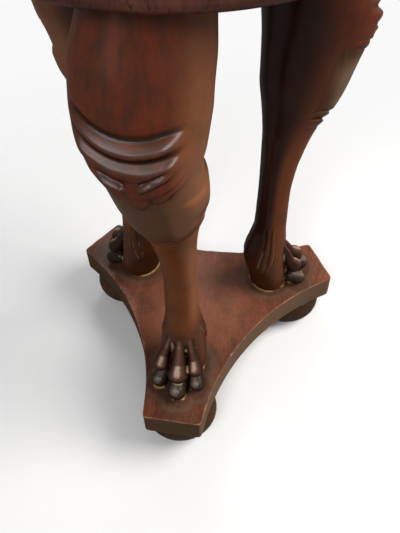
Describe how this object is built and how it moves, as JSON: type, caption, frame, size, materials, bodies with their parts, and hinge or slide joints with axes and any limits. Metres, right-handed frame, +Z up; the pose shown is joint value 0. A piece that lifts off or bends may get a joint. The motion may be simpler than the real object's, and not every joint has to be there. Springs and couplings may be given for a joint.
{
  "type": "teapoy",
  "caption": "Round tea chest with a hinged, domed lid on carved cabriole legs with clawed paw feet, a concave three-cornered plinth and turned bun feet.",
  "frame": {"origin": "on the floor, on the upright axis through the middle of the plinth", "axes": "+Z up; -Y towards the front leg and the lock; +X to the right as seen from the front"},
  "size_m": [0.41, 0.41, 0.8],
  "materials": {
    "plinth_mahogany": "waxed mahogany, redder and darker where hands and cloths have not reached",
    "foot_mahogany": "waxed turned mahogany",
    "leg_mahogany": "dark carved mahogany, french polished and rubbed",
    "chest_mahogany": "figured mahogany, french polished",
    "board_mahogany": "thin mahogany, waxed",
    "cedar_lining": "bare cedar",
    "canister_rosewood": "rosewood, polished",
    "dowel_beech": "bare beech",
    "lid_cloth": "faded blue cloth",
    "brass": "old lacquered brass, dulled in the corners",
    "steel": "old iron and steel, filed bright and browned",
    "glass": "clear blown glass"
  },
  "bodies": {
    "stand": {"bun_foot_front": "foot_mahogany", "leg_front": "leg_mahogany", "bun_foot_right": "foot_mahogany", "leg_right": "leg_mahogany", "bun_foot_left": "foot_mahogany", "leg_left": "leg_mahogany", "plinth": "plinth_mahogany", "plinth_dowels": "dowel_beech", "chest_dowels": "dowel_beech", "plinth_screws": "steel", "chest_screws": "steel", "chest_floor": "chest_mahogany", "foot_moulding": "chest_mahogany", "chest_wall": "chest_mahogany", "chest_lining": "cedar_lining", "board_ledge": "cedar_lining", "divider_board": "board_mahogany", "hinge_leaves_chest": "brass", "hinge_pins": "steel", "hinge_screws_chest": "brass", "lock_case": "brass", "lock_screws": "brass", "escutcheon": "brass"},
    "lid": {"lid_rim": "chest_mahogany", "lid_moulding": "chest_mahogany", "lid_top": "chest_mahogany", "lid_lining": "lid_cloth", "hinge_leaves_lid": "brass", "hinge_screws_lid": "brass", "link_plate": "brass", "link_plate_screws": "brass"},
    "key_body": {"key": "steel"},
    "bolt_body": {"lock_bolt": "steel"},
    "canister_front_body": {"canister_front": "canister_rosewood"},
    "cover_front_body": {"canister_cover_front": "canister_rosewood", "cover_knob_front": "brass"},
    "canister_back_body": {"canister_back": "canister_rosewood"},
    "cover_back_body": {"canister_cover_back": "canister_rosewood", "cover_knob_back": "brass"},
    "bowl_left_body": {"mixing_bowl_left": "glass"},
    "bowl_right_body": {"mixing_bowl_right": "glass"}
  },
  "joints": [
    {"name": "lid_hinge", "type": "hinge", "parent": "stand", "child": "lid", "pos_m": [0, 0.192, 0.745], "axis": [-1, 0, 0], "range_deg": [0, 95]},
    {"name": "key_turn", "type": "hinge", "parent": "stand", "child": "key_body", "pos_m": [0, -0.1795, 0.724], "axis": [0, 1, 0], "range_deg": [0, 180]},
    {"name": "bolt_slide", "type": "slide", "parent": "stand", "child": "bolt_body", "axis": [1, 0, 0], "range_m": [0, 0.008]},
    {"name": "canister_front_lift", "type": "slide", "parent": "stand", "child": "canister_front_body", "axis": [0, 0, 1], "range_m": [0, 0.016]},
    {"name": "cover_front_lift", "type": "slide", "parent": "canister_front_body", "child": "cover_front_body", "axis": [0, 0, 1], "range_m": [0, 0.016]},
    {"name": "canister_back_lift", "type": "slide", "parent": "stand", "child": "canister_back_body", "axis": [0, 0, 1], "range_m": [0, 0.016]},
    {"name": "cover_back_lift", "type": "slide", "parent": "canister_back_body", "child": "cover_back_body", "axis": [0, 0, 1], "range_m": [0, 0.016]},
    {"name": "bowl_left_lift", "type": "slide", "parent": "stand", "child": "bowl_left_body", "axis": [0, 0, 1], "range_m": [0, 0.05]},
    {"name": "bowl_right_lift", "type": "slide", "parent": "stand", "child": "bowl_right_body", "axis": [0, 0, 1], "range_m": [0, 0.05]}
  ],
  "couplings": [
    {"joint": "key_turn", "follows": "bolt_slide", "rad_per_m": 392.7}
  ]
}
